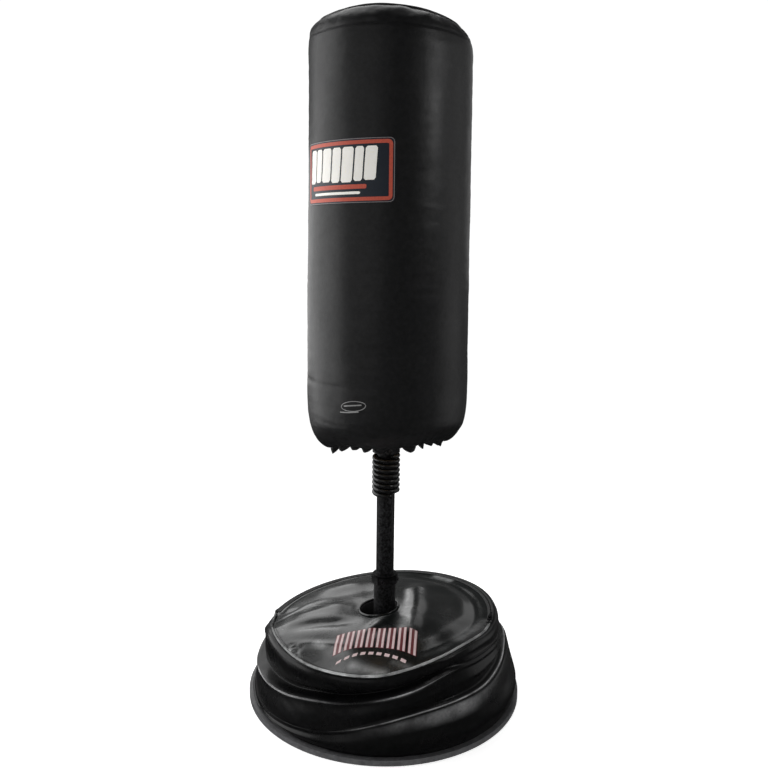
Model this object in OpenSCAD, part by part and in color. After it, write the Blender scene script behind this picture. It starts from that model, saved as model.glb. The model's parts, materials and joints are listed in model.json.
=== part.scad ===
// Free-standing heavy punching bag: a foam-filled vinyl bag on a coil-spring neck,
// carried by a telescoping post that stands in a sand-filled, slumped vinyl base.
// Millimetres, +Z up, origin on the floor under the centre of the base plate.
// The front of the bag, where its label is, faces -Y.

/* [Bag] */
// Outside diameter of the bag
bag_d = 406; // [380:1:420]
// Height of the underside of the bag's cover
bag_bottom_z = 668; // [664:1:676]
// Height of the top edge of the bag's side wall
bag_top_z = 1732; // [1600:1:1760]
// Radius of the rounded bottom edge
bag_bottom_round = 60; // [50:1:70]
// Radius of the rounded top edge
bag_top_round = 35; // [25:1:45]
// Thickness of the vinyl
vinyl_t = 1.5; // [1:0.1:2]
// Radius of the gathered opening under the bag
hem_r = 150; // [145:1:160]

/* [Label] */
// Angle that the label covers round the bag
label_angle = 76; // [50:1:80]
// Direction of the label's middle, from +X
label_mid = -125; // [-140:1:-90]
// Height of the label's lower edge
label_z = 1293; // [1000:1:1450]
// Height of the label
label_h = 143; // [80:1:160]
// Width of the label's border
label_border_w = 8; // [5:1:12]

/* [Post and spring] */
// Outside diameter of the post and of the mandrel in the bag
post_d = 47.6; // [45:0.1:48]
// Wall of the post
post_wall = 4; // [3:0.5:6]
// Height of the post's lower end
post_bottom_z = 130; // [125:1:140]
// Height of the post's upper end, inside the spring
post_top_z = 565; // [555:1:570]
// Wire of the spring
wire_d = 12.3; // [11:0.1:12.4]
// Rise of the spring in each turn
spring_pitch = 13.3; // [13:0.1:13.5]
// Turns of the spring
spring_turns = 8; // [8:1:8]
// Height of the middle of the wire at the spring's lower end
spring_z = 538.5; // [538:0.1:539]

/* [Socket] */
// Outside diameter of the socket tube
socket_d = 58; // [57:0.1:58]
// Height of the top of the socket tube
socket_top_z = 312; // [300:1:314]
// Width of the eight-sided collar across its flats
collar_af = 67; // [66:1:70]
// Height of the collar
collar_h = 24; // [20:1:26]

/* [Base] */
// Radius of the steel base plate
plate_r = 356; // [340:1:356]
// Thickness of the base plate
plate_t = 8; // [6:1:10]
// Height of the rubber feet
foot_h = 4; // [3:1:5]
// Height of the middle of the base cover's rim
rim_z = 192; // [185:1:200]
// Rise of the rim from its middle to its highest point
rim_rise = 34; // [10:1:36]
// Direction of the rim's highest point, from +X
rim_high = -4; // [-30:1:0]
// Radius of the top panel of the base cover
panel_r = 296; // [290:1:298]
// Rise of the top panel's middle above its rim
panel_dome = 25; // [15:1:30]
// Sideways shift of the top panel
panel_x = -15; // [-16:1:-10]
// Radius of the hole in the top panel
hole_r = 52; // [50:1:56]

/* [Hidden] */
$fn = 96;
gap = 0.3;                      // air between neighbouring pieces
bag_r = bag_d / 2;
post_r = post_d / 2;
post_bore_r = post_r - post_wall;
socket_r = socket_d / 2;
socket_bore_r = post_r + 0.25;
plate_z = foot_h;
deck_z = plate_z + plate_t;     // top of the base plate
foam_skin = vinyl_t + gap;      // how far the foam lies inside the cover's outside

coil_r = post_r + 0.65 + wire_d / 2;
spring_end_z = spring_z + spring_pitch * spring_turns;
lower_turns = 3.25;             // turns that stay with the post
upper_turns = 3.25;             // turns that stay with the bag's mandrel

seat_r = 36;
seat_z = spring_end_z + wire_d / 2 + 1;
seat_t = 37.6;
disc_r = 112;
disc_t = 12;
disc_z = seat_z + seat_t + gap;
core_r = 45;
core_wall = 4;
core_z = disc_z + disc_t + gap;
top_disc_z = bag_top_z - 67;
core_len = top_disc_z - core_z - gap;
mandrel_z = 615;
mandrel_top_z = top_disc_z - 25;
bush_h = 30;
upper_bush_z = mandrel_top_z - 12 - bush_h;
mandrel_fit = 0.1;              // running clearance of the bushes on the mandrel
bolt_r = 6;
bolt_len = 34;

dome_rise = 8;                  // rise of the bag's top panel
top_panel_r = bag_r - bag_top_round + 3;
dome_r = (top_panel_r * top_panel_r + dome_rise * dome_rise) / (2 * dome_rise);
welt_r = 2.6;
hem_cord_r = 3.5;
hem_in_r = 122;
hem_z = bag_bottom_z - 1;
hem_t = 9.4;

rim_tilt = atan(rim_rise / panel_r);
zip_start = -18;                // the zip runs round the back, from the right to the left
zip_sweep = 180;
slider_sweep = 3.8;             // degrees that the slider's body covers
rim_outer_r = panel_r + 10;
rim_mid_r = panel_r + 5;
wall_bottom_r = 338;
wall_t = 3;
roll_depth = 14;                // how far each roll of the side wall stands out
rolls = 3;
wall_steps = 18;
wall_sides = 60;
flange_r = 80;
flange_t = 10;
flange_pcd = 120;
gusset_h = 60;
slider_at = zip_start + 2;
pull_y = 10;                    // the pull's pivot, along the zip from the slider's end
pull_z = 5.8;                   // and above the rim's plane
sleeve_z = deck_z + flange_t + 68;
foot_count = 6;
foot_r = 20;
foot_pcd_r = 290;
set_screw_r = 5;
set_screw_len = 13;
collar_turn = -10;              // turn of the collar's flats from the axes
screw_turns = [collar_turn - 90, collar_turn];

VINYL = [0.04, 0.04, 0.045];
STEEL = [0.06, 0.06, 0.065];
RUBBER = [0.09, 0.09, 0.09];
BARE = [0.55, 0.56, 0.58];

// ---------------------------------------------------------------- helpers

// A ring of rectangular section, from radius r1 to r2 and height z1 to z2.
module ring(r1, r2, z1, z2) {
    translate([0, 0, z1]) difference() {
        cylinder(r = r2, h = z2 - z1);
        translate([0, 0, -1]) cylinder(r = r1, h = z2 - z1 + 2);
    }
}

// Children repeated at count places round the Z axis.
module around(count, start = 0) {
    for (i = [0 : count - 1]) rotate([0, 0, start + i * 360 / count]) children();
}

// The frame of the base cover's rim: its plane rises towards rim_high.
module rim_frame() {
    translate([panel_x, 0, rim_z]) rotate([0, 0, rim_high]) rotate([0, -rim_tilt, 0])
        rotate([0, 0, -rim_high]) children();
}

function rim_height(a, r) = rim_z + rim_rise * r / panel_r * cos(a - rim_high);
function panel_height(a, r) = rim_height(a, r) + panel_dome * (1 - pow(r / panel_r, 2));

// A solid that closes on itself round an axis: sections is a list of equal closed loops.
module closed_loft(sections) {
    n = len(sections);
    m = len(sections[0]);
    points = [for (s = sections, p = s) p];
    faces = [for (i = [0 : n - 1], j = [0 : m - 1])
        let (a = i * m + j, b = i * m + (j + 1) % m,
             c = ((i + 1) % n) * m + (j + 1) % m, d = ((i + 1) % n) * m + j)
        each [[a, b, c], [a, c, d]]];
    polyhedron(points, faces);
}

// A tube with capped ends: rings is a list of equal loops along its path.
module tube_loft(rings) {
    n = len(rings);
    m = len(rings[0]);
    points = [for (s = rings, p = s) p];
    sides = [for (i = [0 : n - 2], j = [0 : m - 1])
        let (a = i * m + j, b = i * m + (j + 1) % m, c = (i + 1) * m + (j + 1) % m, d = (i + 1) * m + j)
        each [[a, b, c], [a, c, d]]];
    cap_a = [for (j = [m - 1 : -1 : 0]) j];
    cap_b = [for (j = [0 : m - 1]) (n - 1) * m + j];
    polyhedron(points, concat(sides, [cap_a, cap_b]));
}

// ---------------------------------------------------------------- base

module base_plate() color(STEEL) difference() {
    translate([0, 0, plate_z]) cylinder(r = plate_r, h = plate_t);
    around(4, 45) translate([flange_pcd / 2, 0, plate_z - 1]) cylinder(r = bolt_r + 0.5, h = plate_t + 2);
    around(4, 45) translate([flange_pcd / 2, 0, plate_z - 0.1])
        cylinder(r1 = 12.6, r2 = bolt_r + 0.5, h = 6.2);
    around(foot_count) translate([foot_pcd_r, 0, plate_z - 1]) cylinder(r = 2.6, h = plate_t + 2);
}

// A rubber channel pressed over the edge of the plate.
module edge_trim() color(RUBBER) rotate_extrude($fn = 144) difference() {
    translate([plate_r - 12, plate_z - 3]) square([17, plate_t + 6]);
    translate([plate_r - 13, plate_z - gap]) square([13 + gap, plate_t + 2 * gap]);
}

module rubber_feet() color(RUBBER) around(foot_count) translate([foot_pcd_r, 0, 0]) difference() {
    cylinder(r = foot_r, h = foot_h - 0.1);
    translate([0, 0, -1]) cylinder(r = 5.5, h = 3.2);
    translate([0, 0, -1]) cylinder(r = 2.6, h = foot_h + 2);
}

module foot_screws() color(BARE) around(foot_count) translate([foot_pcd_r, 0, 0]) {
    translate([0, 0, 2.4]) cylinder(r = 2.4, h = deck_z - 3);
    translate([0, 0, 0.6]) cylinder(r = 5, h = 1.5);
    translate([0, 0, 2]) cylinder(r = 2.4, h = 1);
}

module socket_flange() color(STEEL) difference() {
    ring(socket_r + 0.1, flange_r, deck_z, deck_z + flange_t);
    around(4, 45) translate([flange_pcd / 2, 0, deck_z - 1]) cylinder(r = bolt_r + 0.5, h = flange_t + 2);
}

module socket_tube() color(STEEL) difference() {
    ring(socket_bore_r, socket_r, deck_z, socket_top_z);
    for (a = screw_turns) rotate([0, 0, a]) translate([socket_bore_r - 3, 0, socket_top_z - 8])
        rotate([0, 90, 0]) cylinder(r = set_screw_r + 0.1, h = 12, $fn = 32);
}

module socket_gussets() color(STEEL) around(4) translate([socket_r + 0.1, 3, deck_z + flange_t])
    rotate([90, 0, 0]) linear_extrude(6) polygon([[0, 0], [45, 0], [45, 6], [6, gusset_h], [0, gusset_h]]);

module flange_bolts() color(BARE) around(4, 45) translate([flange_pcd / 2, 0, 0]) {
    translate([0, 0, plate_z + 0.2]) cylinder(r1 = 11.8, r2 = bolt_r, h = 5.9);
    translate([0, 0, plate_z + 1]) cylinder(r = bolt_r, h = 37);
}

module flange_washers() color(BARE) around(4, 45) translate([flange_pcd / 2, 0, 0])
    ring(bolt_r + 0.3, 12, deck_z + flange_t, deck_z + flange_t + 2.5);

module flange_nuts() color(BARE) around(4, 45)
    translate([flange_pcd / 2, 0, deck_z + flange_t + 2.6]) difference() {
    cylinder(r = 10.6, h = 10, $fn = 6);
    translate([0, 0, -1]) cylinder(r = bolt_r + 0.1, h = 12);
}

// Eight-sided collar with a bevelled top, welded to the top of the socket.
module socket_collar() color(STEEL) difference() {
    rotate([0, 0, collar_turn + 22.5]) translate([0, 0, socket_top_z + 6 - collar_h]) {
        cylinder(r = collar_af / 2 / cos(22.5), h = collar_h - 4, $fn = 8);
        translate([0, 0, collar_h - 4]) cylinder(r = collar_af / 2 - 2, h = 4, $fn = 96);
    }
    translate([0, 0, socket_top_z - collar_h]) cylinder(r = socket_r + 0.1, h = collar_h + gap);
    translate([0, 0, socket_top_z - 1]) cylinder(r = socket_bore_r + 0.2, h = 20);
    for (a = screw_turns) rotate([0, 0, a]) translate([socket_r - 3, 0, socket_top_z - 8])
        rotate([0, 90, 0]) cylinder(r = set_screw_r + 0.1, h = 20, $fn = 32);
}

module set_screw(a) color(BARE) rotate([0, 0, a])
    translate([post_r + 0.3, 0, socket_top_z - 8]) rotate([0, 90, 0]) difference() {
        cylinder(r = set_screw_r, h = set_screw_len, $fn = 32);
        translate([0, 0, set_screw_len - 4]) cylinder(r = 2.9, h = 5, $fn = 6);
    }

// Outside radius of the slumped wall: rolls stand out between creases that climb round the base.
function wall_r(a, s) = wall_bottom_r + (rim_outer_r - wall_bottom_r) * s
    + roll_depth * pow(abs(sin(180 * (rolls * s + s * (1 - s) * sin(a + 60)))), 0.7);
function wall_z(a, s) = deck_z + 2.5 + (rim_height(a, rim_outer_r) - 8 - deck_z) * s;
function polar(r, a, z, shift = 0) = [shift + r * cos(a), r * sin(a), z];
// A point of the wall, inset mm inside its outside; the wall's top is shifted with the panel.
function wall_point(a, s, inset) = polar(wall_r(a, s) - inset, a, wall_z(a, s), panel_x * s);

module cover_side_wall() color(VINYL) closed_loft([for (i = [0 : wall_sides - 1])
    let (a = i * 360 / wall_sides)
        concat([for (k = [0 : wall_steps]) wall_point(a, k / wall_steps, 0)],
               [for (k = [wall_steps : -1 : 0]) wall_point(a, k / wall_steps, wall_t)])]);

module sand_fill() color([0.72, 0.62, 0.45]) closed_loft([for (i = [0 : wall_sides - 1])
    let (a = i * 360 / wall_sides, sleeve = hole_r + 0.6)
        concat([for (k = [0 : wall_steps - 1]) wall_point(a, k / wall_steps, wall_t + 2.2)],
               [for (r = [panel_r - 6, 240, 170, 100]) polar(r, a, panel_height(a, r) - 7, panel_x)],
               [polar(sleeve, a, panel_height(a, sleeve) - 9, panel_x),
                polar(sleeve, a, sleeve_z, panel_x),
                polar(86, a, sleeve_z - 4),
                polar(86, a, deck_z + flange_t + 4),
                polar(98, a, deck_z + 2.5)])]);

module cover_floor_panel() color(VINYL) ring(90, wall_bottom_r - 6, deck_z + 0.2, deck_z + 1.8);

module cover_top_panel() color(VINYL) {
    panel_ball = (panel_r * panel_r + panel_dome * panel_dome) / (2 * panel_dome);
    rim_frame() rotate_extrude() intersection() {
        difference() {
            translate([0, panel_dome - panel_ball]) circle(r = panel_ball, $fn = 360);
            translate([0, panel_dome - panel_ball]) circle(r = panel_ball - 2, $fn = 360);
        }
        translate([hole_r + 0.2, -10]) square([panel_r - hole_r - 0.2, panel_dome + 20]);
    }
}

// Piping round the front of the rim, where the panel is sewn to the wall.
module cover_rim_welt() color(VINYL) rim_frame() rotate([0, 0, zip_start + zip_sweep + 1])
    rotate_extrude(angle = 358 - zip_sweep) translate([rim_mid_r, 0]) circle(r = 4.4, $fn = 24);

module cover_hole_sleeve() color(VINYL) translate([panel_x, 0, 0])
    ring(hole_r - 2.5, hole_r - 0.8, sleeve_z + 2, rim_z + panel_dome - 12);

module cover_hole_welt() color(VINYL) rim_frame() rotate_extrude()
    translate([hole_r + 0.8, panel_dome * (1 - pow(hole_r / panel_r, 2)) + 2.6]) circle(r = 2.4, $fn = 24);

module zip_tapes() color(VINYL) rim_frame() rotate([0, 0, zip_start]) rotate_extrude(angle = zip_sweep) {
    translate([panel_r + 0.5, 0]) square([3.2, 1]);
    translate([rim_mid_r + 1.3, 0]) square([3.2, 1]);
}

module zip_teeth() color(STEEL) rim_frame() rotate([0, 0, zip_start + 1])
    rotate_extrude(angle = zip_sweep - 2) translate([rim_mid_r - 1.1, 0]) square([2.2, 1.8]);

// The zip's slider, closed at rest at the right-hand end of the zip.
module zip_slider() color(STEEL) rim_frame() rotate([0, 0, slider_at]) difference() {
    union() {
        rotate_extrude(angle = slider_sweep) translate([rim_mid_r - 5.6, 2.2]) square([11.2, 2.2]);
        for (x = [-5.6, 4.8]) rotate_extrude(angle = slider_sweep)
            translate([rim_mid_r + x, 0.4]) square([0.8, 2]);
        translate([rim_mid_r - 1.4, pull_y - 5, 4.2]) cube([2.8, 10, 4.4]);
    }
    translate([rim_mid_r - 3, pull_y - 2.6, 4.4]) cube([6, 5.2, 2.8]);
}

// The slider's pull: a cross-bar under the slider's bridge, two arms and a tab.
module zip_pull() color(STEEL) rim_frame() rotate([0, 0, slider_at]) translate([rim_mid_r, pull_y, pull_z]) {
    translate([-3.6, 0, 0]) rotate([0, 90, 0]) cylinder(r = 0.9, h = 7.2, $fn = 24);
    for (x = [-3.6, 2]) translate([x, 0, -0.8]) cube([1.6, 9, 1.6]);
    difference() {
        translate([-3.6, 8, -0.8]) cube([7.2, 17, 1.6]);
        translate([0, 21, -1]) cylinder(r = 1.6, h = 2, $fn = 24);
    }
}

// ---------------------------------------------------------------- post and spring

module post_tube() color(STEEL) ring(post_bore_r, post_r, post_bottom_z, post_top_z);

module post_guide_bush() color([0.85, 0.85, 0.8]) {
    ring(post_bore_r - 6, socket_bore_r - 0.06, post_bottom_z - 8, post_bottom_z - 0.1);
    ring(post_bore_r - 6, post_bore_r - 0.1, post_bottom_z - 2, post_bottom_z + 25);
}

module post_top_plug() color(RUBBER) {
    translate([0, 0, post_top_z - 20]) cylinder(r = post_bore_r - 0.1, h = 20);
    translate([0, 0, post_top_z + 0.1]) cylinder(r = post_r - 0.6, h = 3);
    translate([0, 0, post_top_z - 1]) cylinder(r = post_bore_r - 1, h = 2);
}

// Turns t1 to t2 of the spring, as one swept wire. It winds left-handed.
module coil(t1, t2, sides = 8, per_turn = 20) {
    steps = ceil((t2 - t1) * per_turn);
    tube_loft([for (i = [0 : steps])
        let (t = t1 + (t2 - t1) * i / steps, a = -360 * t - 60, z = spring_z + spring_pitch * t)
        [for (k = [0 : sides - 1])
            let (w = 360 * k / sides)
            polar(coil_r + wire_d / 2 * cos(w), a, z + wire_d / 2 * sin(w))]]);
}

module spring_lower() color(STEEL) coil(0, lower_turns);
module spring_middle() color(STEEL) coil(lower_turns, spring_turns - upper_turns);
module spring_upper() color(STEEL) coil(spring_turns - upper_turns, spring_turns);

module seat_collar() color(STEEL) ring(post_r + 0.1, seat_r, seat_z, seat_z + seat_t);

module mandrel_tube() color(STEEL) ring(post_bore_r, post_r, mandrel_z, mandrel_top_z);

module mandrel_plug() color(STEEL) ring(bolt_r + 0.1, post_bore_r - 0.1, mandrel_top_z - 30, mandrel_top_z);

module retaining_washer() color(BARE) ring(bolt_r + 0.3, 36, mandrel_top_z + 0.2, mandrel_top_z + 4);

module retaining_bolt() color(BARE) {
    translate([0, 0, mandrel_top_z + 4.2 - bolt_len]) cylinder(r = bolt_r, h = bolt_len);
    translate([0, 0, mandrel_top_z + 4.2]) cylinder(r = 10.6, h = 7.5, $fn = 6);
}

// ---------------------------------------------------------------- inside of the bag

module core_tube() color([0.8, 0.8, 0.8]) ring(core_r - core_wall, core_r, core_z, core_z + core_len);

module core_disc(z, bore) difference() {
    ring(bore, disc_r, z, z + disc_t);
    around(4) translate([70, 0, z - 1]) cylinder(r = 2.6, h = disc_t + 2, $fn = 24);
}

module core_base_disc() color([0.62, 0.48, 0.3]) core_disc(disc_z, post_r + mandrel_fit + 0.2);
module core_top_disc() color([0.62, 0.48, 0.3]) difference() {
    translate([0, 0, top_disc_z]) cylinder(r = disc_r, h = disc_t);
    around(4) translate([70, 0, top_disc_z - 1]) cylinder(r = 2.6, h = disc_t + 2, $fn = 24);
}

// Wood screws through each disc into the foam's glued blocks.
module core_disc_screws() color(BARE) around(4) {
    translate([70, 0, disc_z + 0.2]) cylinder(r = 2.5, h = 11.4, $fn = 24);
    translate([70, 0, disc_z - 2]) cylinder(r = 4.5, h = 1.9, $fn = 24);
    translate([70, 0, disc_z - 1]) cylinder(r = 2.5, h = 2, $fn = 24);
    translate([70, 0, top_disc_z + 0.4]) cylinder(r = 2.5, h = 11.4, $fn = 24);
    translate([70, 0, top_disc_z + disc_t + 0.1]) cylinder(r = 4.5, h = 1.9, $fn = 24);
    translate([70, 0, top_disc_z + disc_t - 1]) cylinder(r = 2.5, h = 2, $fn = 24);
}

module core_bush(z) ring(post_r + mandrel_fit, core_r - core_wall - 0.1, z, z + bush_h);
module core_bush_lower() color([0.85, 0.85, 0.8]) core_bush(core_z);
module core_bush_upper() color([0.85, 0.85, 0.8]) core_bush(upper_bush_z);

// Half-section of the bag, drawn inset mm inside its outside.
module bag_section(inset) {
    r = bag_r - inset;
    low = bag_bottom_z + inset;
    high = bag_top_z - inset;
    rb = bag_bottom_round - inset;
    rt = bag_top_round - inset;
    translate([0, low + rb]) square([r, high - rt - low - rb]);
    translate([0, low]) square([r - rb, high - low]);
    translate([r - rb, low + rb]) circle(r = rb);
    translate([0, high - rt - 1]) square([r - rt, rt + 1]);
    translate([r - rt, high - rt]) circle(r = rt);
}

// A slightly domed disc outline of the bag's top, drawn drop mm below its top.
module dome_section(drop) {
    translate([0, bag_top_z + dome_rise - dome_r]) intersection() {
        circle(r = dome_r - drop, $fn = 360);
        translate([0, dome_r - 60]) square([bag_r, 80]);
    }
}

module foam_core() color([0.25, 0.25, 0.28]) rotate_extrude() difference() {
    intersection() {
        bag_section(foam_skin);
        translate([0, bag_bottom_z]) square([bag_r, top_disc_z - gap - bag_bottom_z]);
    }
    square([core_r + 0.2, 2000]);
    square([disc_r + 0.3, core_z]);
    square([hem_r + 1, hem_z + hem_t + gap]);
}

module foam_top_pad() color([0.25, 0.25, 0.28]) rotate_extrude() difference() {
    intersection() {
        union() {
            bag_section(foam_skin);
            translate([0, bag_top_z - 10]) square([top_panel_r - 6, 20]);
        }
        dome_section(foam_skin + 0.2);
        translate([0, top_disc_z]) square([bag_r, 100]);
    }
    translate([0, top_disc_z - 1]) square([disc_r + 0.3, disc_t + 3.4]);
    translate([top_panel_r - welt_r - 0.5, bag_top_z - welt_r - 1]) square([2 * welt_r + 1, 20]);
}

module bag_side_wall() color(VINYL) rotate_extrude() difference() {
    bag_section(0);
    bag_section(vinyl_t);
    translate([0, bag_bottom_z - 1]) square([hem_r, 5]);
    translate([0, bag_top_z - 8]) square([top_panel_r + 3.2, 10]);
}

module bag_top_panel() color(VINYL) rotate_extrude() difference() {
    intersection() {
        dome_section(0);
        translate([0, bag_top_z - 8]) square([top_panel_r - 3.2, 30]);
    }
    dome_section(vinyl_t);
}

module bag_top_welt() color(VINYL) translate([0, 0, bag_top_z - 0.7]) rotate_extrude()
    translate([top_panel_r, 0]) circle(r = welt_r, $fn = 24);

// Strip that covers the vertical seam down the back of the bag.
module bag_back_seam() color(VINYL) rotate([0, 0, 87]) rotate_extrude(angle = 6)
    translate([bag_r + 0.1, bag_bottom_z + bag_bottom_round + 6])
        square([1, bag_top_z - bag_bottom_z - bag_bottom_round - bag_top_round - 12]);

// Gathered edge of the cover, drawn in under the bag.
module bag_hem() color(VINYL) rotate_extrude() difference() {
    translate([hem_in_r - 7, hem_z]) square([hem_r - hem_in_r + 6.4, hem_t]);
    translate([hem_in_r, hem_z + hem_t / 2]) circle(r = hem_cord_r + 0.2, $fn = 32);
}

module hem_cord() color([0.1, 0.1, 0.1]) translate([0, 0, hem_z + hem_t / 2]) rotate_extrude()
    translate([hem_in_r, 0]) circle(r = hem_cord_r, $fn = 24);

module label_part(r1, r2, a_from, a_size, z_from, z_size)
    rotate([0, 0, label_mid - label_angle / 2 + a_from]) rotate_extrude(angle = a_size)
        translate([bag_r + r1, label_z + z_from]) square([r2 - r1, z_size]);

module label_patch() color([0.05, 0.07, 0.12])
    label_part(0.1, 0.8, 0, label_angle, 0, label_h);

module label_border() color([0.75, 0.2, 0.15]) {
    inset = label_border_w / 2;
    turn = 180 / PI / bag_r;    // degrees round the bag in each millimetre
    difference() {
        label_part(0.9, 1.3, inset * turn, label_angle - 2 * inset * turn, inset, label_h - 2 * inset);
        label_part(0.5, 1.8, 3 * inset * turn, label_angle - 6 * inset * turn, 3 * inset,
            label_h - 6 * inset);
    }
}

// ---------------------------------------------------------------- drawing

base_plate();
edge_trim();
rubber_feet();
foot_screws();
socket_flange();
socket_tube();
socket_gussets();
flange_bolts();
flange_washers();
flange_nuts();
socket_collar();
sand_fill();
cover_floor_panel();
cover_side_wall();
cover_top_panel();
cover_rim_welt();
cover_hole_sleeve();
cover_hole_welt();
zip_tapes();
zip_teeth();
zip_slider();
zip_pull();
set_screw(screw_turns[0]);  // set_screw_front
set_screw(screw_turns[1]);  // set_screw_side
post_tube();
post_guide_bush();
post_top_plug();
spring_lower();
spring_middle();
spring_upper();
seat_collar();
mandrel_tube();
mandrel_plug();
retaining_washer();
retaining_bolt();
core_tube();
core_base_disc();
core_top_disc();
core_bush_lower();
core_bush_upper();
core_disc_screws();
foam_core();
foam_top_pad();
bag_side_wall();
bag_top_panel();
bag_top_welt();
bag_back_seam();
bag_hem();
hem_cord();
label_patch();
label_border();
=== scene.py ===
import json
import math

import bpy
import numpy as np
from mathutils import Matrix, Vector, noise


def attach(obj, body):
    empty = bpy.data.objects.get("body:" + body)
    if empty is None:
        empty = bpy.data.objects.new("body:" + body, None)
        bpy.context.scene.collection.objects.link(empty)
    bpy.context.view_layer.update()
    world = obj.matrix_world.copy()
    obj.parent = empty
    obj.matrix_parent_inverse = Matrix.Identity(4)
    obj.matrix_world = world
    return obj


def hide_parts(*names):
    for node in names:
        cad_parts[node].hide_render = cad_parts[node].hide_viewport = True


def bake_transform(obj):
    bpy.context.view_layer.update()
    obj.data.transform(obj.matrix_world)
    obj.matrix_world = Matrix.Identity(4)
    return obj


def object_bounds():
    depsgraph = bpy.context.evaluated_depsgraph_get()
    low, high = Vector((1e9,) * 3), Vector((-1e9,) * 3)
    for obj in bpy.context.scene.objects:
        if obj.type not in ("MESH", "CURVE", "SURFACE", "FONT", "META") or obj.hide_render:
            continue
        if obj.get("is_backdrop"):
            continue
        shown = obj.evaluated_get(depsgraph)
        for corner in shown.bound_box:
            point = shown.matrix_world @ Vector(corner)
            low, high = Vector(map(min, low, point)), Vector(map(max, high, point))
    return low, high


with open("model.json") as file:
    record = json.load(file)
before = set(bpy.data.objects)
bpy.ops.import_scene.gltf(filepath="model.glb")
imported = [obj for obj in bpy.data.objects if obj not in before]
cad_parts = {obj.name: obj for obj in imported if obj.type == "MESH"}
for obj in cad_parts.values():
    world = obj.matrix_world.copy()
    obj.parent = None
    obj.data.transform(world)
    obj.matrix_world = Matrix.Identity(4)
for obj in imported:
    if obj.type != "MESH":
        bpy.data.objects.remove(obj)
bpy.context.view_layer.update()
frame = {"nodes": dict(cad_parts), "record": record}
scene = bpy.context.scene
nodes = frame["nodes"]

# ---- camera

CAMERA_PLACE = (-0.009, -2.171, 1.251)
CAMERA_DOWN, CAMERA_ROLL = 8.37, 0.64  # degrees

cam = bpy.data.objects.new("camera", bpy.data.cameras.new("camera"))
scene.collection.objects.link(cam)
cam.data.lens = 40
cam.data.sensor_width = 36
cam.data.shift_y = -0.05
cam.matrix_world = (
    Matrix.Translation(CAMERA_PLACE)
    @ Matrix.Rotation(math.radians(90 - CAMERA_DOWN), 4, "X")
    @ Matrix.Rotation(math.radians(CAMERA_ROLL), 4, "Z")
)
scene.camera = cam

# ---- numbers shared with the CAD part

PANEL_X = -0.015  # the base's top panel is shifted sideways
RIM_Z = 0.192  # height of the rim's middle
RIM_TILT = math.atan(34 / 296)
RIM_HIGH = math.radians(-4)
ZIP_R = 0.301
TOOTH_PITCH = 0.42  # in degrees, like the zip's two ends
ZIP_START, ZIP_END = -18.0, 162.0
HOLE_R = 0.0525
POST_R, WIRE_R = 0.0238, 0.00615
COIL_R = POST_R + 0.00065 + WIRE_R
SPRING_Z, SPRING_PITCH, SPRING_TURNS = 0.5385, 0.0133, 8.0
rng = np.random.default_rng(11)

# ---- maths


def ease(x):
    """A soft step: 0 below 0, 1 above 1."""
    x = np.clip(x, 0.0, 1.0)
    return x * x * (3 - 2 * x)


def bell(x, middle, width):
    """A soft bump of height 1 round the middle."""
    return np.exp(-(((x - middle) / width) ** 2))


def turn_apart(a, b):
    """Smallest signed difference a - b of two angles in degrees."""
    return (np.asarray(a) - b + 180.0) % 360.0 - 180.0


def polar(r, a, z):
    """Points at radius r, azimuth a (in degrees) and height z."""
    a = np.radians(a)
    return np.stack(np.broadcast_arrays(r * np.cos(a), r * np.sin(a), z), -1)


def pairing(u, v):
    """Two arrays that hold every pair of a value of u (first axis) and one of v (second axis)."""
    return np.meshgrid(u, v, indexing="ij")


def run_length(points):
    """How far along a polyline each of its points lies."""
    return np.r_[0, np.cumsum(np.linalg.norm(np.diff(points, axis=0), axis=1))]


def around_table(*pairs):
    """A smooth periodic curve through (azimuth in degrees, value in mm) pairs; it returns metres.

    A table of shares is given in thousandths, so it returns 0 to 1."""
    a = np.array([q[0] for q in pairs], float)
    v = np.array([q[1] for q in pairs], float) / 1000.0
    n = len(a)
    k = np.arange(-2, n + 3)
    A, V = a[k % n] + 360.0 * (k // n), v[k % n]
    slope = (V[2:] - V[:-2]) / (A[2:] - A[:-2])
    A, V = A[1:-1], V[1:-1]

    def at(x):
        x = (np.asarray(x, float) - a[0]) % 360.0 + a[0]
        i = np.clip(np.searchsorted(A, x, side="right") - 1, 0, len(A) - 2)
        h = A[i + 1] - A[i]
        f = (x - A[i]) / h
        return (
            (2 * f**3 - 3 * f**2 + 1) * V[i] + (f**3 - 2 * f**2 + f) * h * slope[i]
            + (3 * f**2 - 2 * f**3) * V[i + 1] + (f**3 - f**2) * h * slope[i + 1]
        )

    return at


def spline(points, per):
    """Points on a Catmull-Rom curve through the given ones, along the first axis."""
    p = np.asarray(points, float)
    ext = np.concatenate([2 * p[:1] - p[1:2], p, 2 * p[-1:] - p[-2:-1]])
    out = []
    for k in range(len(p) - 1):
        p0, p1, p2, p3 = ext[k], ext[k + 1], ext[k + 2], ext[k + 3]
        for j in range(per):
            t = j / per
            out.append(
                0.5 * (2 * p1 + (p2 - p0) * t + (2 * p0 - 5 * p1 + 4 * p2 - p3) * t * t
                       + (3 * p1 - p0 - 3 * p2 + p3) * t**3)
            )
    out.append(p[-1])
    return np.array(out)


def even(points, step):
    """The same polyline with points a given step apart."""
    d = run_length(points)
    n = max(2, int(round(d[-1] / step)) + 1)
    s = np.linspace(0, d[-1], n)
    return np.stack([np.interp(s, d, points[:, k]) for k in range(points.shape[1])], 1)


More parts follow.
